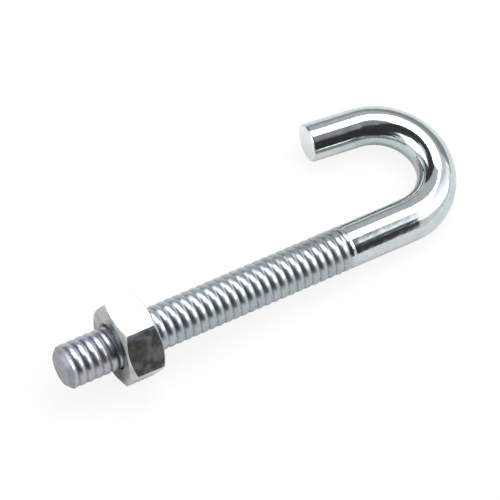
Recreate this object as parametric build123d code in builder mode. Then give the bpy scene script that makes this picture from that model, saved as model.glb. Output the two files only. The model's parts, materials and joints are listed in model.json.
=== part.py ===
from build123d import *
import os
from math import acos, atan2, cos, degrees, hypot, radians, sin, sqrt, tan

# A zinc-plated steel J-bolt, with the hex nut that runs on its thread, lying on a floor at z = 0.
# It lies on one corner of the nut and on the outside of the bend, so the rod falls a little
# towards the hook. +X runs from the threaded end to the hook, +Y from the shank to the leg.
# All sizes are in millimetres and degrees.

# The rod
thread_diameter = 6.35  # 1/4 in over the crests
thread_pitch = 1.27  # 20 threads to the inch
thread_length = 44.45  # 1 3/4 in, from the threaded end to the last groove
shank_diameter = 6.3
straight_length = 55.5  # from the threaded end to the start of the bend
hook_diameter = 5.6
bend_radius = 8.3  # of the rod's centre line
bend_angle = 174.5
neck_start_angle = 15.0  # round the bend, to where the rod starts to draw down
neck_end_angle = 60.0  # round the bend, to where it has drawn down to the hook's diameter
leg_length = 7.6
leg_chamfer = 0.4

# The nut
nut_width = 11.11  # 7/16 in across the flats
nut_thickness = 5.56  # 7/32 in
nut_face_diameter = 10.4  # the round end faces that the chamfers leave
nut_chamfer_angle = 30.0
nut_turn = 10.0  # how far the nut is turned on the rod from lying flat
nut_start = 7.9  # from the threaded end to the nut
bore_clearance = 0.05  # between the thread's crests and the wall of the bore
bore_countersink = 0.4

# Radii and places that follow from the sizes
thread_radius = thread_diameter / 2
shank_radius = shank_diameter / 2
hook_radius = hook_diameter / 2
tip_chamfer = 0.6 * thread_pitch  # down to the roots of the thread
nut_corner_radius = nut_width / sqrt(3)
nut_face_radius = nut_face_diameter / 2
nut_chamfer_length = (nut_corner_radius - nut_face_radius) * tan(radians(nut_chamfer_angle))
bore_radius = thread_radius + bore_clearance
nut_end = nut_start + nut_thickness

# How it lies: the nut's lowest corner, at its end towards the hook, and the far side of the bend
# both touch the floor. Between them the rod falls by the angle that closes this triangle.
corner_depth = nut_corner_radius * cos(radians(30 - nut_turn))
corner_place = nut_end - nut_chamfer_length
contact_run = straight_length + bend_radius - corner_place
lie_angle = acos(hook_radius / hypot(corner_depth, contact_run)) - atan2(contact_run, corner_depth)

# The threaded end stands where the middle of the footprint falls on the origin.
reach = (straight_length + bend_radius) * cos(lie_angle) + hook_radius
overhang = (thread_radius - tip_chamfer) * sin(lie_angle)
nut_half_width = nut_corner_radius * cos(radians(nut_turn))
leg_lean = radians(180 - bend_angle)
leg_end_side = bend_radius * (1 + cos(leg_lean)) + (leg_length - leg_chamfer) * sin(leg_lean)
hook_side = max(2 * bend_radius + hook_radius, leg_end_side + hook_radius * cos(leg_lean))
tip_x = (overhang - reach) / 2
tip_y = (nut_half_width - hook_side) / 2
tip_z = corner_place * sin(lie_angle) + corner_depth * cos(lie_angle)

# The hook's plane holds the rod's centre line: local X along the straight, local Y to the leg.
along = Vector(cos(lie_angle), 0, -sin(lie_angle))
upward = Vector(sin(lie_angle), 0, cos(lie_angle))
hook_plane = Plane(origin=(tip_x, tip_y, tip_z), x_dir=along, z_dir=upward)
rod_axis = Axis(hook_plane.origin, along)


def across(place, heading=0.0):
    """A plane across the rod at a place in the hook's plane, facing the way the rod heads there."""
    ahead = along * cos(radians(heading)) + hook_plane.y_dir * sin(radians(heading))
    return Plane(origin=hook_plane.from_local_coords(place), x_dir=upward, z_dir=ahead)


def bend_place(heading):
    """The point of the bend's centre line where the rod has turned by this heading."""
    return bend_centre + Vector(sin(radians(heading)), -cos(radians(heading)), 0) * bend_radius


# The rod is one piece: thread and shank turned about one axis, then the bend, then the leg.
# The bend starts at the shank's full size, draws down in a neck, and ends at the hook's size.
bend_centre = Vector(straight_length, bend_radius, 0)
bend_axis = Axis(hook_plane.from_local_coords(bend_centre), upward)
neck_start = across(bend_place(neck_start_angle), neck_start_angle)
neck_end = across(bend_place(neck_end_angle), neck_end_angle)
leg_start = across(bend_place(bend_angle), bend_angle)
thread_step = thread_radius - shank_radius

with BuildPart() as j_bolt:
    with BuildSketch(hook_plane) as half_profile:
        with BuildLine():
            Polyline(
                (0, 0),
                (0, thread_radius - tip_chamfer),
                (tip_chamfer, thread_radius),
                (thread_length, thread_radius),
                (thread_length + thread_step, shank_radius),
                (straight_length, shank_radius),
                (straight_length, 0),
                close=True,
            )
        make_face()
    revolve(axis=rod_axis)
    with BuildSketch(across(bend_place(0))) as bend_section:
        Circle(shank_radius)
    revolve(axis=bend_axis, revolution_arc=neck_start_angle)
    with BuildLine(hook_plane) as neck_path:
        CenterArc(
            (straight_length, bend_radius),
            bend_radius,
            start_angle=neck_start_angle - 90,
            arc_size=neck_end_angle - neck_start_angle,
        )
    with BuildSketch(neck_start) as neck_first_section:
        Circle(shank_radius)
    with BuildSketch(neck_end) as neck_last_section:
        Circle(hook_radius)
    sweep(multisection=True)
    with BuildSketch(neck_end) as hook_section:
        Circle(hook_radius)
    revolve(axis=bend_axis, revolution_arc=bend_angle - neck_end_angle)
    with BuildSketch(leg_start) as leg_section:
        Circle(hook_radius)
    extrude(amount=leg_length)
    rims = j_bolt.edges().filter_by(GeomType.CIRCLE)
    leg_rim = rims.sort_by_distance(leg_start.offset(leg_length).origin)[0]
    chamfer(leg_rim, leg_chamfer)

j_bolt.part.label = "j_bolt"

# The nut: a hexagonal bar turned to a cone at both ends, bored to run on the thread's crests.
nut_across = Plane(
    origin=hook_plane.from_local_coords(Vector(nut_start, 0, 0)),
    x_dir=upward.rotate(rod_axis, -nut_turn),
    z_dir=along,
)

with BuildPart() as hex_nut:
    with BuildSketch(nut_across) as hexagon:
        RegularPolygon(radius=nut_corner_radius, side_count=6, rotation=30)
    extrude(amount=nut_thickness)
    with BuildSketch(hook_plane) as turned_profile:
        with BuildLine():
            Polyline(
                (nut_start, 0),
                (nut_start, nut_face_radius),
                (nut_start + nut_chamfer_length, nut_corner_radius),
                (nut_end - nut_chamfer_length, nut_corner_radius),
                (nut_end, nut_face_radius),
                (nut_end, 0),
                close=True,
            )
        make_face()
    revolve(axis=rod_axis, mode=Mode.INTERSECT)
    with BuildSketch(hook_plane) as bore_profile:
        with BuildLine():
            Polyline(
                (nut_start, 0),
                (nut_start, bore_radius + bore_countersink),
                (nut_start + bore_countersink, bore_radius),
                (nut_end - bore_countersink, bore_radius),
                (nut_end, bore_radius + bore_countersink),
                (nut_end, 0),
                close=True,
            )
        make_face()
    revolve(axis=rod_axis, mode=Mode.SUBTRACT)

hex_nut.part.label = "hex_nut"

os.makedirs("parts", exist_ok=True)
export_step(j_bolt.part, "parts/j_bolt.step")
export_step(hex_nut.part, "parts/hex_nut.step")

for piece in (j_bolt, hex_nut):
    box = piece.part.bounding_box()
    print(piece.part.label, round(piece.part.volume, 1), "mm3", box.min, box.max)
print("lies at", round(degrees(lie_angle), 2), "degrees, threaded end at", hook_plane.origin)
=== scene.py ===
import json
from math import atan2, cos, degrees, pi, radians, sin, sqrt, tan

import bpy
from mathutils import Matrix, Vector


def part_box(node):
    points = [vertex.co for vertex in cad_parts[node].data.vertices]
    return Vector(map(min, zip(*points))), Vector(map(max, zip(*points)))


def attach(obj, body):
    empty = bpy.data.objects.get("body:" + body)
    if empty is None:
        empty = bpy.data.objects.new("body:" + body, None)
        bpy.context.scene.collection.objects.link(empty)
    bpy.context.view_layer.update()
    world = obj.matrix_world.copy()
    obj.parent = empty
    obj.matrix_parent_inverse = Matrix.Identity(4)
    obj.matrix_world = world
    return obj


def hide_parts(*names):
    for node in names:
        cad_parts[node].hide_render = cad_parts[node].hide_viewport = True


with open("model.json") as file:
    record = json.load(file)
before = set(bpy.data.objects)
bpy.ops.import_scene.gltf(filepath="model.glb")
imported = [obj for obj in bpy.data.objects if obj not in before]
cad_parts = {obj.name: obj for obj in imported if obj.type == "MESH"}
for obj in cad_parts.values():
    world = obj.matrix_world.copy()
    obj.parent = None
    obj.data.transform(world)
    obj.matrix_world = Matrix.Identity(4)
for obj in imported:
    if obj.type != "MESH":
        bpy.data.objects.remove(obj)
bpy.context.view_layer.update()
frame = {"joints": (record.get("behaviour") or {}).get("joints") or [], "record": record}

# %% [markdown]
# # A zinc-plated J-bolt and its hex nut
#
# The object is one steel rod, threaded at one end and bent into a hook at the other, with a hex
# nut on the thread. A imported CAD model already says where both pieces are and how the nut
# travels. It leaves out what makes a bolt look like a bolt: the helix of the thread, the rounded
# edges that the plating leaves, and the plating itself. This file makes those in Blender.
#
# The work is done lying straight, in millimetres, with X along the rod from its threaded end, Y
# towards the leg of the hook and Z square to the hook. At the end each piece is laid down in its
# real place by one matrix, because a rod is much easier to turn and thread when it lies on an axis.

# %% [markdown]
# ## Where the rod lies
#
# The record gives the middle of the thread and the direction towards its end, and the joint gives
# the line that the nut travels on. That is enough for the rod's own axes. They could be typed in
# as numbers, but read from the record they follow the CAD model if it ever lies another way.

# %% The rod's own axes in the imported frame
MM = 0.001

thread_mount = next(m for m in frame["record"]["mounts"] if m["name"] == "thread")
thread_length = thread_mount["dims"]["length_mm"]
along = Vector(frame["joints"][0]["axis"]).normalized()
beside = Vector((0, 1, 0))
above = along.cross(beside)
threaded_end = Vector(thread_mount["pos_m"]) - along * thread_length / 2 * MM

laid_down = Matrix((along, beside, above)).transposed().to_4x4()
laid_down.translation = threaded_end
laid_down = laid_down @ Matrix.Scale(MM, 4)
print("the rod falls", round(degrees(atan2(-along.z, along.x)), 2), "degrees towards the hook")

# %% The sizes, in millimetres, as the makers of the bolt would give them
thread_radius = thread_mount["dims"]["r_mm"]
thread_pitch = 1.27
shank_radius = 3.15
hook_radius = 2.8
straight_length = 55.5
bend_radius = 8.3
bend_angle = radians(174.5)
neck_start = radians(15)
neck_end = radians(60)
leg_length = 7.6
leg_edge = 0.4

nut_width = 11.11
nut_thickness = 5.56
nut_seat = next(m for m in frame["record"]["mounts"] if m["name"] == "nut_seat")
nut_end = (laid_down.inverted() @ Vector(nut_seat["pos_m"])).x
nut_start = nut_end - nut_thickness
nut_turn = radians(10)
print("nut from", round(nut_start, 2), "to", round(nut_end, 2), "mm along the rod")

# %% [markdown]
# ## Working by selection
#
# Blender's operators act on whatever is selected, and loading the CAD model leaves it selected.
# So a few small helpers clear the selection, start a piece, and pick faces or edges by where they
# are. By hand this is clicking; in code it is a test on each face's middle and normal.


# %% Helpers for selecting and shaping
def start_clean():
    """Leaves nothing selected, so that the next primitive is alone."""
    bpy.ops.object.select_all(action="DESELECT")


def only(piece):
    """Selects one piece and makes it the active one."""
    start_clean()
    piece.select_set(True)
    bpy.context.view_layer.objects.active = piece


def edit(piece, mode="FACE"):
    """Opens a piece for shaping, with nothing in it selected."""
    only(piece)
    bpy.ops.object.mode_set(mode="EDIT")
    bpy.ops.mesh.select_mode(type=mode)
    bpy.ops.mesh.select_all(action="DESELECT")
    bpy.ops.object.mode_set(mode="OBJECT")


def pick_faces(piece, test):
    """Selects the faces that pass a test on their middle and normal, and opens the piece."""
    edit(piece, "FACE")
    for face in piece.data.polygons:
        face.select = test(face.center, face.normal)
    bpy.ops.object.mode_set(mode="EDIT")


def pick_edges(piece, test):
    """Selects the edges whose two ends both pass a test, and opens the piece."""
    edit(piece, "EDGE")
    points = piece.data.vertices
    for line in piece.data.edges:
        line.select = all(test(points[i].co) for i in line.vertices)
    bpy.ops.object.mode_set(mode="EDIT")


def close_edit():
    bpy.ops.object.mode_set(mode="OBJECT")


def heal(piece, gap=0.0005):
    """Joins doubled points and turns every face outwards."""
    edit(piece)
    bpy.ops.object.mode_set(mode="EDIT")
    bpy.ops.mesh.select_all(action="SELECT")
    bpy.ops.mesh.remove_doubles(threshold=gap)
    bpy.ops.mesh.normals_make_consistent(inside=False)
    bpy.ops.object.mode_set(mode="OBJECT")


def finish_modifier(piece, kind, **settings):
    """Adds a modifier, gives it its settings and applies it."""
    only(piece)
    modifier = piece.modifiers.new(kind.lower(), kind)
    for name, value in settings.items():
        setattr(modifier, name, value)
    bpy.ops.object.modifier_apply(modifier=modifier.name)


def carve(piece, tool, operation):
    """Cuts, joins or trims a piece with a tool, and throws the tool away."""
    finish_modifier(piece, "BOOLEAN", object=tool, operation=operation, solver="EXACT")
    bpy.data.objects.remove(tool)


def report(piece):
    """Prints how many faces a piece has, and whether its skin is closed."""
    uses = {}
    for face in piece.data.polygons:
        for key in face.edge_keys:
            uses[key] = uses.get(key, 0) + 1
    open_edges = sum(1 for n in uses.values() if n != 2)
    print(piece.name, len(piece.data.polygons), "faces,", open_edges, "open edges")


# %% [markdown]
# ## Turned shapes
#
# The blank of the nut, the tool that chamfers the rod's end and the run-out of the thread are all
# shapes that a lathe makes. A lathe shape is half an outline turned about the axis. It could be a
# cylinder with bevelled rims, but an outline says the lengths and radii directly, as a drawing
# does. So a flat disc is put at the first point and extruded and resized to each next point.

# %% A turned shape from its outline
round_steps = 96


def turned(name, outline, steps=round_steps):
    """A closed lathe shape along X through the (place, radius) points of an outline."""
    start_clean()
    place, radius = outline[0]
    bpy.ops.mesh.primitive_circle_add(
        vertices=steps, radius=radius, fill_type="NGON", location=(place, 0, 0), rotation=(0, pi / 2, 0)
    )
    piece = bpy.context.object
    piece.name = name
    bpy.ops.object.transform_apply(location=True, rotation=True, scale=True)
    bpy.ops.object.mode_set(mode="EDIT")
    bpy.ops.mesh.select_all(action="SELECT")
    for next_place, next_radius in outline[1:]:
        bpy.ops.mesh.extrude_region_move(
            TRANSFORM_OT_translate={"value": (next_place - place, 0, 0)}
        )
        growth = next_radius / radius
        bpy.ops.transform.resize(value=(1, growth, growth), center_override=(next_place, 0, 0))
        place, radius = next_place, next_radius
    close_edit()
    heal(piece)
    return piece


# %% [markdown]
# ## The rod's smooth part
#
# On the real bolt the shank runs at full size into the bend, where the bending machine draws the
# steel down, and the hook beyond is thinner. A curve with a bevel could make the hook, and its
# radius could change along the way. Here the end face of the shank is spun about the centre of
# the bend instead, as the machine does it: a few degrees at a time, and through the neck the face
# is made a little smaller after each step.

# %% Shank, with the cone that ends the thread
groove_depth = 0.15
groove_radius = thread_radius - groove_depth
runout_start = 42.0
runout_end = 45.8
runout_sink = 0.08
room = 0.5

rod = turned(
    "zinc_j_bolt",
    [
        (runout_start, groove_radius - runout_sink),
        (runout_end, shank_radius),
        (runout_end + room, shank_radius),
        (straight_length - room, shank_radius),
        (straight_length, shank_radius),
    ],
)
report(rod)

# %% Bend
bend_centre = Vector((straight_length, bend_radius, 0))
step_angle = radians(3)


def bend_place(angle):
    """The middle of the rod where the bend has turned by an angle."""
    return bend_centre + bend_radius * Vector((sin(angle), -cos(angle), 0))


def drawn_radius(angle):
    """The rod's radius round the bend: full, then drawn down smoothly in the neck."""
    share = min(max((angle - neck_start) / (neck_end - neck_start), 0), 1)
    return shank_radius + (hook_radius - shank_radius) * share


pick_faces(rod, lambda middle, normal: normal.x > 0.99 and middle.x > straight_length - 0.01)
turned_by = 0.0
while turned_by < bend_angle - 1e-6:
    turn = min(step_angle, bend_angle - turned_by)
    bpy.ops.mesh.spin(steps=1, angle=turn, center=bend_centre, axis=(0, 0, -1))
    shrink = drawn_radius(turned_by + turn) / drawn_radius(turned_by)
    turned_by += turn
    bpy.ops.transform.resize(value=(shrink,) * 3, center_override=bend_place(turned_by))
close_edit()
report(rod)

# %% Leg, with its cut end
leg_way = Vector((cos(bend_angle), sin(bend_angle), 0))
leg_start = bend_place(bend_angle)


def on_leg_end(reach):
    """A test for what lies in the leg's end face, when the leg is this long."""
    return lambda point: abs((point - leg_start).dot(leg_way) - reach) < 0.01


bpy.ops.object.mode_set(mode="EDIT")
bpy.ops.mesh.extrude_region_move(TRANSFORM_OT_translate={"value": leg_way * leg_length})
close_edit()
pick_edges(rod, on_leg_end(leg_length))
bpy.ops.mesh.bevel(offset=leg_edge, segments=4, affect="EDGES")
close_edit()
heal(rod)
report(rod)
tips = [v.co for v in rod.data.vertices]
print("rod reaches", [round(max(p[i] for p in tips), 2) for i in range(3)])

# %% [markdown]
# ## The thread
#
# A 1/4-20 thread is one ridge wound round the rod 20 times to the inch. Rolled and then plated,
# this one is shallow and soft: broad crests, grooves between them that the zinc has half filled,
# and no sharp edge anywhere. A spiral could be drawn and a profile swept along it, but Blender's
# Screw modifier does exactly what a lathe does: it takes the outline of one pitch and turns it
# while it moves along, and each turn ends where the next one starts.
#
# The outline of a groove is three simple pieces: an arc at its root, a straight flank, and an arc
# that turns into the flat of the crest. Both arcs turn by the flank's slope.

# %% The outline of one pitch
flank_slope = radians(23)
root_arc = 0.12
crest_arc = 1.0
arcs_rise = (root_arc + crest_arc) * (1 - cos(flank_slope))
flank_reach = (groove_depth - arcs_rise) / tan(flank_slope)
crest_flat_start = (root_arc + crest_arc) * sin(flank_slope) + flank_reach
print("flat of the crest", round(thread_pitch - 2 * crest_flat_start, 2), "mm wide")


def half_groove(growth):
    """A groove's outline from its root to the crest's flat, as (place, radius) points."""
    low, high = groove_radius + growth, thread_radius + growth
    root = [flank_slope * share for share in (0, 0.5, 1)]
    crest = [flank_slope * share for share in (1, 0.75, 0.5, 0.25, 0)]
    return [(root_arc * sin(a), low + root_arc * (1 - cos(a))) for a in root] + [
        (crest_flat_start - crest_arc * sin(a), high - crest_arc * (1 - cos(a))) for a in crest
    ]


def one_pitch(growth=0.0):
    """One pitch of the thread from the middle of a root to the next, grown outwards."""
    rise = half_groove(growth)
    return rise + [(thread_pitch - place, radius) for place, radius in reversed(rise)]


print(len(one_pitch()), "points in a pitch")

# %% [markdown]
# The outline starts as a flat primitive like any other piece: a plane is reduced to one corner,
# and that corner is extruded from point to point. Then it is wound up, cut square at both ends and
# capped, so that it is a solid which other solids can cut.

# %% A wound solid
steps_per_turn = 72
thread_phase = -0.52


def wound(name, outline, start, end):
    """A threaded solid between two places on the axis, whose root crosses +Y at thread_phase."""
    start_clean()
    bpy.ops.mesh.primitive_plane_add(size=thread_pitch)
    piece = bpy.context.object
    piece.name = name
    bpy.ops.object.mode_set(mode="EDIT")
    bpy.ops.mesh.select_mode(type="VERT")
    bpy.ops.mesh.select_all(action="SELECT")
    bpy.ops.mesh.merge(type="CENTER")
    first = (floor_turns(start) - 1) * thread_pitch + thread_phase
    place, radius = outline[0]
    bpy.ops.transform.translate(value=(first + place, radius, 0))
    for next_place, next_radius in outline[1:]:
        bpy.ops.mesh.extrude_region_move(
            TRANSFORM_OT_translate={"value": (next_place - place, next_radius - radius, 0)}
        )
        place, radius = next_place, next_radius
    close_edit()
    finish_modifier(
        piece,
        "SCREW",
        axis="X",
        angle=2 * pi,
        screw_offset=thread_pitch,
        iterations=floor_turns(end) - floor_turns(start) + 3,
        steps=steps_per_turn,
        render_steps=steps_per_turn,
        use_merge_vertices=True,
        merge_threshold=0.001,
        use_normal_calculate=True,
    )
    heal(piece, 0.002)
    for place, way in ((start, -1), (end, 1)):
        edit(piece)
        bpy.ops.object.mode_set(mode="EDIT")
        bpy.ops.mesh.select_all(action="SELECT")
        bpy.ops.mesh.bisect(
            plane_co=(place, 0, 0), plane_no=(way, 0, 0), clear_outer=True, use_fill=True
        )
        close_edit()
    heal(piece)
    return piece


def floor_turns(place):
    """Whole pitches before a place on the axis."""
    return int(place // thread_pitch)


thread_spare = 0.4
thread = wound("thread", one_pitch(), 0, runout_end + thread_spare)
report(thread)

# %% [markdown]
# A thread doesn't start or stop at full depth. At the free end a chamfer leads the nut on, and at
# the shank the crests fade while the grooves get shallow. Both come from one turned envelope: the
# thread is trimmed to it, then joined to the cone that the smooth part was started with, whose
# skin swallows the last grooves one after another.

# %% Trim the thread to its envelope and join it to the rod
tip_chamfer = 0.6 * thread_pitch
tip_radius = thread_radius - tip_chamfer
crest_fade = 0.02
fade_run = 0.1

envelope = turned(
    "envelope",
    [
        (-room, tip_radius - room),
        (tip_chamfer + room, thread_radius + room),
        (thread_length - fade_run, thread_radius + room),
        (thread_length, thread_radius + crest_fade),
        (runout_end, shank_radius - crest_fade),
        (runout_end + room, shank_radius - crest_fade),
    ],
    steps=192,
)
carve(thread, envelope, "INTERSECT")
report(thread)
carve(rod, thread, "UNION")
heal(rod)
report(rod)

# %% [markdown]
# ## The nut
#
# A hex nut is a slice of hexagonal bar. Both ends are turned to a 30 degree cone, which cuts each
# corner down to the round face and leaves an arc on each flat, then it is drilled and tapped. The
# arcs are the hard part to draw, so they aren't drawn: a six-sided cylinder is trimmed by a turned
# blank, as in the real work, and they come by themselves. The edges are softened before the hole
# is cut, because the plating rounds them and a bevel across a thread would tear it.
#
# A real nut turns as it travels, so its thread always meets the rod's in step. Here it slides
# without turning. Cut to a real fit, its ridges would run through the rod's crests at every place
# but whole turns, so the tap is wide enough for the ridges to pass over the crests anywhere.

# %% The blank: a slice of hexagonal bar, turned at both ends
corner_radius = nut_width / sqrt(3)
face_radius = 5.2
cone_slope = tan(radians(30))
cone_length = (corner_radius - face_radius) * cone_slope
plating_edge = 0.13

start_clean()
bpy.ops.mesh.primitive_cylinder_add(
    vertices=6, radius=corner_radius, depth=nut_thickness, rotation=(0, pi / 2, 0)
)
nut = bpy.context.object
nut.name = "zinc_hex_nut"
bpy.ops.object.transform_apply(location=True, rotation=True, scale=True)
corner = nut.data.vertices[0].co
lying_flat = -atan2(corner.z, corner.y)
nut_place = Vector((nut_start + nut_thickness / 2, 0, 0))
nut.data.transform(Matrix.Translation(nut_place) @ Matrix.Rotation(lying_flat - nut_turn, 4, "X"))

blank = turned(
    "blank",
    [
        (nut_start, face_radius),
        (nut_start + cone_length + room, corner_radius + room / cone_slope),
        (nut_end - cone_length - room, corner_radius + room / cone_slope),
        (nut_end, face_radius),
    ],
    steps=180,
)
carve(nut, blank, "INTERSECT")
heal(nut)
finish_modifier(
    nut, "BEVEL", width=plating_edge, segments=3, limit_method="ANGLE", angle_limit=radians(25)
)
report(nut)

# %% The hole: a countersink at each end, then the thread
bore_play = 0.05
countersink = 0.4
slide_play = groove_depth + 0.02
past_face = 1.0

for face_place, way in ((nut_start, 1), (nut_end, -1)):
    cone = turned(
        "countersink",
        [
            (face_place - way * room, thread_radius + bore_play + countersink + room),
            (face_place + way * (countersink + past_face), thread_radius + bore_play - past_face),
        ],
    )
    carve(nut, cone, "DIFFERENCE")
tap = wound("tap", one_pitch(slide_play), nut_start - past_face, nut_end + past_face)
carve(nut, tap, "DIFFERENCE")
heal(nut)
report(nut)

# %% [markdown]
# ## Laying the pieces down
#
# Each finished piece goes to its real place with its mesh, so that its object stays at the origin
# as the CAD nodes do. It then rides on its CAD body and stands for the plain CAD node.

# %% Smooth the skins and seat the pieces
for piece, body, node_name, slot_name, crease in (
    (rod, "bolt", "j_bolt", "rod", 38),
    (nut, "nut", "hex_nut", "nut", 30),
):
    only(piece)
    bpy.ops.object.shade_smooth_by_angle(angle=radians(crease))
    finish_modifier(piece, "WEIGHTED_NORMAL", keep_sharp=True)
    piece.data.transform(laid_down)
    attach(piece, body)
    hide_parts(node_name)
    low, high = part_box(node_name)
    points = [v.co for v in piece.data.vertices]
    for axis, letter in enumerate("XYZ"):
        reach = [point[axis] for point in points]
        spare = (min(reach) - low[axis], high[axis] - max(reach))
        print(piece.name, letter, "inside its CAD node by, mm:", [round(s / MM, 3) for s in spare])

# %% [markdown]
# ## Camera
#
# The bolt is seen from above its threaded end, about 60 degrees above the floor, with a long lens,
# so that the thread runs up the picture with hardly any perspective. A constraint could aim the
# camera, but a plain matrix of its right, up and forward directions also holds its small roll.

# %% Camera
lens = 288
sensor_width = 36
picture_shift = (-0.0008, 0.0014)
picture_right = Vector((0.8725, -0.4854, 0.0559))
picture_up = Vector((0.4011, 0.7769, 0.4854))
camera_place = Vector((-156.32, -225.69, 492.19)) * MM

camera_data = bpy.data.cameras.new("camera")
camera_data.lens = lens
camera_data.sensor_width = sensor_width
camera_data.shift_x, camera_data.shift_y = picture_shift
camera_data.clip_start = 0.01
camera = bpy.data.objects.new("camera", camera_data)
bpy.context.scene.collection.objects.link(camera)
picture_right.normalize()
picture_back = picture_right.cross(picture_up).normalized()
picture_up = picture_back.cross(picture_right)
camera.matrix_world = Matrix.Translation(camera_place) @ Matrix(
    (picture_right, picture_up, picture_back)
).transposed().to_4x4()
bpy.context.scene.camera = camera
bpy.context.scene.view_settings.view_transform = "Standard"
print("camera", round(camera_place.length, 3), "m from the bolt")

# %% [markdown]
# ## Floor and room
#
# Bright metal is mostly a picture of what stands round it, so the room is as much a part of the
# finish as the plating. Three things make it here: a white floor, a pale world, and beyond them
# dark cards and softboxes, as they are set up to show cutlery at its best. The camera and the
# reflections see the white at full strength, and the light that falls on things stays low, so
# that the background is white and nothing on the bolt burns out.


# %% Helpers for shader nodes
def node(tree, kind, **settings):
    """Adds a shader node and gives it its settings."""
    made = tree.nodes.new("ShaderNode" + kind)
    for name, value in settings.items():
        setattr(made, name, value)
    return made


def wire(tree, source, target):
    tree.links.new(source, target)


def blank_material(name):
    """A material with an empty node tree and its output node."""
    material = bpy.data.materials.new(name)
    material.use_nodes = True
    material.node_tree.nodes.clear()
    return material, node(material.node_tree, "OutputMaterial")


def seen_ray(tree, kinds):
    """One where a ray of any of these kinds looks at the surface, and zero elsewhere."""
    rays = node(tree, "LightPath")
    seen = rays.outputs[kinds[0]]
    for kind in kinds[1:]:
        either = node(tree, "Math", operation="MAXIMUM")
        wire(tree, seen, either.inputs[0])
        wire(tree, rays.outputs[kind], either.inputs[1])
        seen = either.outputs[0]
    return seen


# %% World
room_light = 0.6
looking = ("Is Camera Ray", "Is Glossy Ray", "Is Transmission Ray")

world = bpy.data.worlds.new("pale_room")
bpy.context.scene.world = world
world.use_nodes = True
tree = world.node_tree
tree.nodes.clear()
sky = node(tree, "Background")
sky.inputs["Color"].default_value = (1, 1, 1, 1)
level = node(tree, "MapRange")
level.inputs["To Min"].default_value = room_light
level.inputs["To Max"].default_value = 1.0
wire(tree, seen_ray(tree, looking), level.inputs["Value"])
wire(tree, level.outputs["Result"], sky.inputs["Strength"])
wire(tree, sky.outputs[0], node(tree, "OutputWorld").inputs["Surface"])
print("world", room_light, "for light, 1 where it is looked at")

# %% Floor
floor_size = 4
floor_glow = 0.85
floor_glow_mirrored = 0.1
floor_white = (0.78, 0.78, 0.78, 1)

start_clean()
bpy.ops.mesh.primitive_plane_add(size=floor_size)
floor = bpy.context.object
floor.name = "floor"
material, out = blank_material("white_floor")
tree = material.node_tree
matt = node(tree, "BsdfDiffuse")
matt.inputs["Color"].default_value = floor_white
glow = node(tree, "Emission")
seen = seen_ray(tree, ("Is Camera Ray",))
mirrored = seen_ray(tree, ("Is Glossy Ray", "Is Transmission Ray"))
share = node(tree, "Mix", data_type="FLOAT")
share.inputs["A"].default_value = 0
wire(tree, mirrored, share.inputs["Factor"])
share.inputs["B"].default_value = floor_glow_mirrored
glow_share = node(tree, "Mix", data_type="FLOAT")
wire(tree, seen, glow_share.inputs["Factor"])
wire(tree, share.outputs["Result"], glow_share.inputs["A"])
glow_share.inputs["B"].default_value = floor_glow
both = node(tree, "MixShader")
wire(tree, glow_share.outputs["Result"], both.inputs[0])
wire(tree, matt.outputs[0], both.inputs[1])
wire(tree, glow.outputs[0], both.inputs[2])
wire(tree, both.outputs[0], out.inputs["Surface"])
floor.data.materials.append(material)
print("floor", floor_size, "m wide")

# %% [markdown]
# The dark bands that run along a polished rod are the dark parts of the room, and the white ones
# are its windows. Cards and softboxes over the table make them. A card could be a lamp's barn door
# or a black cloth; a plane that only reflections can see does the same and leaves the light on the
# floor alone. Each is placed by what it must cover as seen from the bolt, as sideways and forward
# distance for each metre of height, so that the height itself may be chosen freely.

# %% Dark cards and softboxes
rig_height = 0.5


def over_table(left, right, near, far):
    """The middle and size of a rectangle at the rig's height, from its slopes as seen below."""
    middle = Vector(((left + right) / 2, (near + far) / 2, 1)) * rig_height
    return middle, ((right - left) * rig_height, (far - near) * rig_height)


def mirrored_plane(name, grey, middle, size, turn=0):
    """A level plane of one brightness that nothing but a mirror can see."""
    start_clean()
    bpy.ops.mesh.primitive_plane_add(size=1, location=middle)
    piece = bpy.context.object
    piece.name = name
    piece.scale = (*size, 1)
    bpy.ops.object.transform_apply(location=True, rotation=True, scale=True)
    piece.data.transform(Matrix.Rotation(radians(turn), 4, "Z"))
    piece.visible_camera = False
    piece.visible_diffuse = False
    piece.visible_shadow = False
    material, out = blank_material(name)
    dark = node(material.node_tree, "Emission")
    dark.inputs["Color"].default_value = (grey, grey, grey * 1.05, 1)
    wire(material.node_tree, dark.outputs[0], out.inputs["Surface"])
    piece.data.materials.append(material)


def card(name, grey, left, right, near, far, turn=0):
    """A plane over the table that only mirrors in the metal, turned about the bolt."""
    middle, size = over_table(left, right, near, far)
    mirrored_plane(name, grey, middle, size, turn)


def softbox(name, brightness, left, right, near, far):
    """A flat lamp over the table that shines down and isn't in the picture."""
    middle, size = over_table(left, right, near, far)
    lamp_data = bpy.data.lights.new(name, "AREA")
    lamp_data.shape = "RECTANGLE"
    lamp_data.size, lamp_data.size_y = size
    lamp_data.energy = brightness * pi * size[0] * size[1]
    lamp = bpy.data.objects.new(name, lamp_data)
    lamp.location = middle
    lamp.visible_camera = False
    bpy.context.scene.collection.objects.link(lamp)


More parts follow.
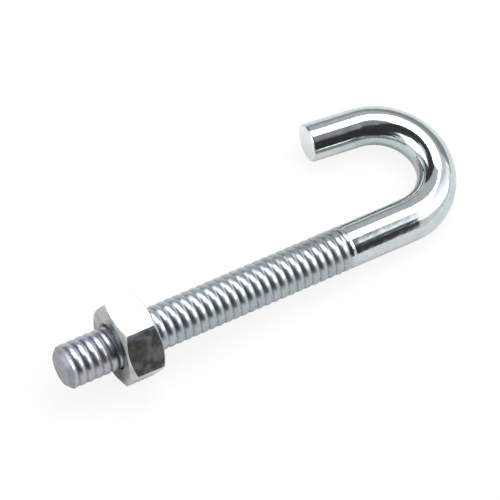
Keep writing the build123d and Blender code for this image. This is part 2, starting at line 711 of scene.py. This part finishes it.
card("card_left", 0.06, -0.45, 0.02, -0.05, 0.7)
card("card_left_edge", 0.1, -0.78, -0.45, -0.05, 0.35)
card("card_left_far", 0.06, -0.62, 0.15, 0.7, 6)
card("card_left_back", 0.12, -2, -0.62, 1.6, 8)
card("card_left_corner", 0.7, -8, -2, 1.6, 8)
card("card_left_front", 0.06, -0.9, 0.02, -2, -0.05)
card("card_left_low", 0.12, -2, -0.9, -2, -0.8)
card("card_middle_low", 0.1, 0.02, 0.44, -2, -0.6)
card("card_middle_left", 0.4, 0.02, 0.28, -0.6, -0.05)
card("card_middle", 0.35, 0.28, 0.44, -0.6, -0.05)
card("card_gap", 0.45, 0.44, 0.52, -0.8, -0.05)
card("card_middle_right", 1.8, 0.52, 0.72, -0.65, -0.05)
card("card_front", 0.05, -20, 0.38, -20, -0.92, turn=20.7)
card("card_back", 0.72, 0.15, 1.3, 0.62, 8)
card("card_right", 1.6, 0.8, 4, -0.03, 0.3)
card("card_right_low", 1.6, 2, 20, 0.3, 0.55)
card("card_right_back", 0.42, 1.3, 20, 0.55, 8)
softbox("softbox_over", 4.4, 0.02, 0.8, -0.06, 0.68)
softbox("softbox_right", 4, 0.72, 4, -1.25, -0.04)
softbox("softbox_left", 1.9, -4, -0.79, -0.55, 1.5)

nut_middle = laid_down @ Vector(((nut_start + nut_end) / 2, 0, 0))
reflector_height = 0.02
reflector_slopes = Vector((0.52, 1.03, 1))
reflector_size = 0.022
reflector_brightness = 3.2
reflector_place = nut_middle + reflector_slopes * reflector_height
mirrored_plane("nut_reflector", reflector_brightness, reflector_place, (reflector_size,) * 2)
print("cards and softboxes", rig_height, "m over the table")

# %% [markdown]
# ## Zinc plating
#
# Electroplated zinc is a thin bright skin, clear-passivated, so it is nearly neutral with a faint
# film of colour: blue-grey for the most part, straw and violet where the film is thicker. Nothing
# on it is a picture; it is noise at three scales, so every finish here is worked out from the
# place on the rod. One colour would look like a toy, and a painted skin would hold good for
# one view alone.
#
# Three shader groups carry what both materials share: the place in the rod's own millimetres, the
# film with its grain, and the grime that gathers where a wiping cloth doesn't reach, with painted
# shade in the same deep places.


# %% Helpers for shader groups
def new_group(name, inputs, outputs):
    """An empty shader group with its sockets, and its input and output nodes."""
    group = bpy.data.node_groups.new(name, "ShaderNodeTree")
    for direction, sockets in (("INPUT", inputs), ("OUTPUT", outputs)):
        for socket, kind in sockets.items():
            group.interface.new_socket(
                name=socket, in_out=direction, socket_type="NodeSocket" + kind
            )
    return group, group.nodes.new("NodeGroupInput"), group.nodes.new("NodeGroupOutput")


def place_group(tree, group, **values):
    """Places a group in a material and sets the inputs that have a plain value."""
    made = tree.nodes.new("ShaderNodeGroup")
    made.node_tree = group
    for name, value in values.items():
        made.inputs[name.replace("_", " ")].default_value = value
    return made


def between(tree, value, low, high, at_low=0.0, at_high=1.0):
    """Goes smoothly from one value to another while the input goes from low to high."""
    step = node(tree, "MapRange", interpolation_type="SMOOTHSTEP")
    wire(tree, value, step.inputs["Value"])
    step.inputs["From Min"].default_value = low
    step.inputs["From Max"].default_value = high
    step.inputs["To Min"].default_value = at_low
    step.inputs["To Max"].default_value = at_high
    return step.outputs["Result"]


def math(tree, operation, first, second):
    """Arithmetic between two sockets, or a socket and a number."""
    made = node(tree, "Math", operation=operation)
    for socket, value in zip(made.inputs, (first, second)):
        if isinstance(value, (int, float)):
            socket.default_value = value
        else:
            wire(tree, value, socket)
    return made.outputs[0]


def noise(tree, place, scale, detail=2.0, stretch=(1, 1, 1)):
    """Noise over a place in millimetres, scale being how many bumps fit in one."""
    turned_place = node(tree, "Mapping")
    turned_place.inputs["Scale"].default_value = stretch
    wire(tree, place, turned_place.inputs["Vector"])
    made = node(tree, "TexNoise")
    made.inputs["Scale"].default_value = scale
    made.inputs["Detail"].default_value = detail
    wire(tree, turned_place.outputs[0], made.inputs["Vector"])
    return made.outputs["Fac"]


def blend(tree, share, first, second, kind="MIX"):
    """Mixes two colours, each a socket or a plain colour."""
    mix = node(tree, "Mix", data_type="RGBA", blend_type=kind)
    for socket, value in ((mix.inputs[0], share), (mix.inputs[6], first), (mix.inputs[7], second)):
        if hasattr(value, "is_output"):
            wire(tree, value, socket)
        else:
            socket.default_value = value
    return mix.outputs[2]


# %% Group: the place on the rod
rod_place, _, rod_place_out = new_group(
    "rod_place", {}, {"Place": "Vector", "Along": "Float", "Radius": "Float"}
)
coordinates = node(rod_place, "TexCoord")
to_rod = node(rod_place, "Mapping", vector_type="TEXTURE")
to_rod.inputs["Location"].default_value = threaded_end
to_rod.inputs["Rotation"].default_value = laid_down.to_euler()
to_rod.inputs["Scale"].default_value = (MM, MM, MM)
wire(rod_place, coordinates.outputs["Object"], to_rod.inputs["Vector"])
parts = node(rod_place, "SeparateXYZ")
wire(rod_place, to_rod.outputs[0], parts.inputs[0])
across_rod = node(rod_place, "CombineXYZ")
wire(rod_place, parts.outputs["Y"], across_rod.inputs["Y"])
wire(rod_place, parts.outputs["Z"], across_rod.inputs["Z"])
from_axis = node(rod_place, "VectorMath", operation="LENGTH")
wire(rod_place, across_rod.outputs[0], from_axis.inputs[0])
wire(rod_place, to_rod.outputs[0], rod_place_out.inputs["Place"])
wire(rod_place, parts.outputs["X"], rod_place_out.inputs["Along"])
wire(rod_place, from_axis.outputs["Value"], rod_place_out.inputs["Radius"])
print("group", rod_place.name, "gives millimetres on the rod")

# %% Group: the passivated film, with its grain
film, film_in, film_out = new_group(
    "zinc_film",
    {"Place": "Vector", "Tint": "Float", "Mottle": "Float"},
    {"Colour": "Color", "Patch": "Float", "Grain": "Float"},
)
place = film_in.outputs["Place"]
thickness = noise(film, place, 0.32, 3)
hues = node(film, "ValToRGB")
wire(film, thickness, hues.inputs["Fac"])
stops = hues.color_ramp.elements
stops[0].position, stops[0].color = 0.30, (0.88, 0.84, 1.0, 1)
stops[1].position, stops[1].color = 0.74, (1.0, 0.93, 0.80, 1)
for position, colour in ((0.44, (0.88, 0.97, 1.0, 1)), (0.58, (0.96, 1.0, 0.97, 1))):
    stops.new(position).color = colour
neutral = (1, 1, 1, 1)
tinted = blend(film, film_in.outputs["Tint"], neutral, hues.outputs["Color"])
patch = between(film, noise(film, place, 1.1, 4), 0.32, 0.68)
speck = noise(film, place, 5.0, 2)
darker = math(film, "MULTIPLY", math(film, "SUBTRACT", 1.0, patch), film_in.outputs["Mottle"])
shade = node(film, "CombineColor")
lightness = math(film, "SUBTRACT", 1.0, darker)
for channel in ("Red", "Green", "Blue"):
    wire(film, lightness, shade.inputs[channel])
mottled = blend(film, 1.0, tinted, shade.outputs[0], "MULTIPLY")
wire(film, mottled, film_out.inputs["Colour"])
wire(film, patch, film_out.inputs["Patch"])
wire(film, math(film, "ADD", speck, patch), film_out.inputs["Grain"])
print("group", film.name, "has", len(stops), "hues")

# %% Group: grime and painted shade below a surface
grime, grime_and_shade_in, grime_and_shade_out = new_group(
    "grime", {"Place": "Vector", "Depth": "Float"}, {"Mask": "Float"}
)
# Depth says how deep a place lies; the mask there is grime and also painted shade, made uneven by
# noise.
gathered = between(grime, noise(grime, grime_and_shade_in.outputs["Place"], 0.8, 3), 0.25, 0.6, 0.6, 1.0)
mask = math(grime, "MULTIPLY", gathered, grime_and_shade_in.outputs["Depth"])
wire(grime, mask, grime_and_shade_out.inputs["Mask"])
print("group", grime.name, "darkens what lies deep")

# %% [markdown]
# The rod's material joins four finishes along one piece: the bright shank and hook, marked along
# their length by the drawing die, the duller thread with grime and painted shade in its grooves,
# and two cut ends that the shear left rough. The rod's own coordinates say which one a point
# belongs to.

# %% Plating of the rod
shank_zinc = (0.55, 0.58, 0.585, 1)
thread_zinc = (0.39, 0.42, 0.44, 1)
handled_zinc = (0.40, 0.41, 0.46, 1)
# dark colour for the thread's grooves: grime, and painted shade in the hollows
groove_grime_and_shade = (0.10, 0.095, 0.115, 1)
cut_steel = (0.74, 0.76, 0.76, 1)
dull_end = (0.40, 0.40, 0.44, 1)
run_off_stain = (0.50, 0.44, 0.40, 1)
bump_height = 0.004 * MM
cut_starts, cut_whole = 0.08, 0.02
stain_starts, stain_whole = 9, 1
stain_share, dull_share, groove_dark_share = 0.35, 0.75, 0.35
plain_roughness, patch_roughness = 0.13, 0.08
thread_dullness, grime_dullness, cut_dullness = 0.2, 0.2, 0.28
grain_height, wave_height, shear_height = 0.5, 5, 6

rod_plating, out = blank_material("bright_zinc_rod")
tree = rod_plating.node_tree
spot = place_group(tree, rod_place)
place, on_length, radius = (spot.outputs[name] for name in ("Place", "Along", "Radius"))
skin = place_group(tree, film, Tint=0.75, Mottle=0.10)
wire(tree, place, skin.inputs["Place"])

on_thread = between(tree, on_length, thread_length + 0.8, thread_length - 0.6)
in_groove = between(tree, radius, thread_radius - 0.08, groove_radius + 0.01)
deep = math(tree, "MULTIPLY", on_thread, in_groove)
dirt_and_shade = place_group(tree, grime)
wire(tree, place, dirt_and_shade.inputs["Place"])
wire(tree, deep, dirt_and_shade.inputs["Depth"])

end_reach = node(tree, "VectorMath", operation="DOT_PRODUCT")
wire(tree, place, end_reach.inputs[0])
end_reach.inputs[1].default_value = leg_way
leg_end_reach = (leg_start + leg_way * leg_length).dot(leg_way)
leg_cut = between(
    tree, end_reach.outputs["Value"], leg_end_reach - cut_starts, leg_end_reach - cut_whole
)
beside_shank = node(tree, "SeparateXYZ")
wire(tree, place, beside_shank.inputs[0])
past_bend = between(tree, beside_shank.outputs["Y"], bend_radius, bend_radius + 1)
tip_cut = between(tree, on_length, cut_starts, cut_whole)
cut = math(tree, "MAXIMUM", math(tree, "MULTIPLY", leg_cut, past_bend), tip_cut)

stained = between(tree, on_length, thread_length - stain_starts, thread_length - stain_whole)
stain_and_shade = math(tree, "MULTIPLY", math(tree, "MULTIPLY", stained, on_thread), skin.outputs["Patch"])

handled = between(tree, on_length, nut_end, nut_start)
threaded = blend(tree, handled, thread_zinc, handled_zinc)
zinc = blend(tree, on_thread, shank_zinc, threaded)
zinc = blend(tree, math(tree, "MULTIPLY", stain_and_shade, stain_share), zinc, run_off_stain)
zinc = blend(tree, 1.0, zinc, skin.outputs["Colour"], "MULTIPLY")
zinc = blend(tree, cut, zinc, cut_steel)
zinc = blend(tree, math(tree, "MULTIPLY", tip_cut, dull_share), zinc, dull_end)
# the grooves of the thread are darkened: grime, and painted shade in the hollows
zinc = blend(tree, math(tree, "MULTIPLY", dirt_and_shade.outputs["Mask"], groove_dark_share), zinc, groove_grime_and_shade)

roughness = between(tree, skin.outputs["Patch"], 0, 1, plain_roughness, patch_roughness)
for place_mask, dullness in (
    (on_thread, thread_dullness),
    (dirt_and_shade.outputs["Mask"], grime_dullness),
    (cut, cut_dullness),
):
    roughness = math(tree, "ADD", roughness, math(tree, "MULTIPLY", place_mask, dullness))

die_marks = noise(tree, place, 3.0, 2, stretch=(0.06, 1, 1))
shear_depth = math(tree, "MULTIPLY", cut, shear_height)
shear_marks = math(tree, "MULTIPLY", noise(tree, place, 2.2, 4), shear_depth)
height = math(tree, "ADD", math(tree, "MULTIPLY", skin.outputs["Grain"], grain_height), die_marks)
waves = noise(tree, place, 0.45, 1)
height = math(tree, "ADD", height, math(tree, "MULTIPLY", waves, wave_height))
bumps = node(tree, "Bump")
bumps.inputs["Distance"].default_value = bump_height
wire(tree, math(tree, "ADD", height, shear_marks), bumps.inputs["Height"])

metal = node(tree, "BsdfPrincipled")
metal.inputs["Metallic"].default_value = 1
wire(tree, zinc, metal.inputs["Base Color"])
wire(tree, roughness, metal.inputs["Roughness"])
wire(tree, bumps.outputs[0], metal.inputs["Normal"])
wire(tree, metal.outputs[0], out.inputs["Surface"])
rod.data.materials.clear()
rod.data.materials.append(rod_plating)
print(rod_plating.name, len(tree.nodes), "nodes")

# %% [markdown]
# The nut was plated in a barrel with a thousand others, so it is duller and blotched, greenish on
# the flats and brown-violet round the mouth of the thread, where painted shade also darkens the
# countersink. That dark mark is stronger towards the bottom and covers most of the end face that
# faces the tip. Its corners knocked against the others and are rubbed bright. A wear mask from the
# mesh's sharpness would do that, but on a hexagon the distance from the axis is the same thing and
# never depends on how finely the mesh is cut.

# %% Plating of the nut
nut_zinc = (0.56, 0.57, 0.55, 1)
green_blotch = (0.34, 0.38, 0.29, 1)
blue_blotch = (0.38, 0.43, 0.48, 1)
# dark colour round the bore's mouth: a brown-violet stain and painted shade in the countersink
mouth_stain_and_shade = (0.085, 0.07, 0.09, 1)
rubbed_zinc = (0.74, 0.76, 0.76, 1)
mouth_width = 0.9
darkened_face_from, darkened_face_to = -4.9, -3.6
blotch_share, mouth_dark_share, rubbed_share, darkened_face_share = 0.8, 0.9, 0.8, 0.95
even_roughness, blotch_roughness = 0.17, 0.26
mouth_dullness = 0.12
hammer_height = 2.5

nut_plating, out = blank_material("blotched_zinc_nut")
tree = nut_plating.node_tree
spot = place_group(tree, rod_place)
place, on_length, radius = (spot.outputs[name] for name in ("Place", "Along", "Radius"))
skin = place_group(tree, film, Tint=0.6, Mottle=0.16)
wire(tree, place, skin.inputs["Place"])

blotch = between(tree, noise(tree, place, 0.55, 5), 0.42, 0.6)
at_mouth = between(tree, radius, face_radius, thread_radius + mouth_width)
on_nut = node(tree, "SeparateXYZ")
wire(tree, place, on_nut.inputs[0])
# the dark mark is stronger towards the bottom
stronger_below = between(tree, on_nut.outputs["Z"], 0.5, -3, 0.45, 1.0)
on_face = between(tree, on_length, nut_start + 0.6, nut_start + 0.2)
# most of the end face that faces the tip is darkened the same way
darkened_face_place = between(tree, on_nut.outputs["Y"], darkened_face_from, darkened_face_to)
darkened_face = math(tree, "MULTIPLY", on_face, darkened_face_place)
stain_and_shade = math(tree, "MAXIMUM", at_mouth, math(tree, "MULTIPLY", darkened_face, darkened_face_share))
mouth_grime_and_shade = place_group(tree, grime)
wire(tree, place, mouth_grime_and_shade.inputs["Place"])
wire(tree, math(tree, "MULTIPLY", stain_and_shade, stronger_below), mouth_grime_and_shade.inputs["Depth"])
at_corner = between(tree, radius, corner_radius - 0.28, corner_radius - 0.1)
rubbed = math(tree, "MULTIPLY", at_corner, between(tree, noise(tree, place, 1.5, 3), 0.3, 0.5))

blotch_hue = between(tree, noise(tree, place, 0.22, 2), 0.45, 0.55)
blotched = blend(tree, blotch_hue, blue_blotch, green_blotch)
zinc = blend(tree, math(tree, "MULTIPLY", blotch, blotch_share), nut_zinc, blotched)
zinc = blend(tree, 1.0, zinc, skin.outputs["Colour"], "MULTIPLY")
# stain and painted shade round the mouth of the thread
zinc = blend(tree, math(tree, "MULTIPLY", mouth_grime_and_shade.outputs["Mask"], mouth_dark_share), zinc, mouth_stain_and_shade)
zinc = blend(tree, math(tree, "MULTIPLY", rubbed, rubbed_share), zinc, rubbed_zinc)

roughness = between(tree, blotch, 0, 1, even_roughness, blotch_roughness)
dulled = math(tree, "MULTIPLY", mouth_grime_and_shade.outputs["Mask"], mouth_dullness)
roughness = math(tree, "ADD", roughness, dulled)
hammered = noise(tree, place, 1.6, 3)
height = math(tree, "ADD", skin.outputs["Grain"], math(tree, "MULTIPLY", hammered, hammer_height))
bumps = node(tree, "Bump")
bumps.inputs["Distance"].default_value = bump_height
wire(tree, height, bumps.inputs["Height"])

metal = node(tree, "BsdfPrincipled")
metal.inputs["Metallic"].default_value = 1
wire(tree, zinc, metal.inputs["Base Color"])
wire(tree, roughness, metal.inputs["Roughness"])
wire(tree, bumps.outputs[0], metal.inputs["Normal"])
wire(tree, metal.outputs[0], out.inputs["Surface"])
nut.data.materials.clear()
nut.data.materials.append(nut_plating)
print(nut_plating.name, len(tree.nodes), "nodes")
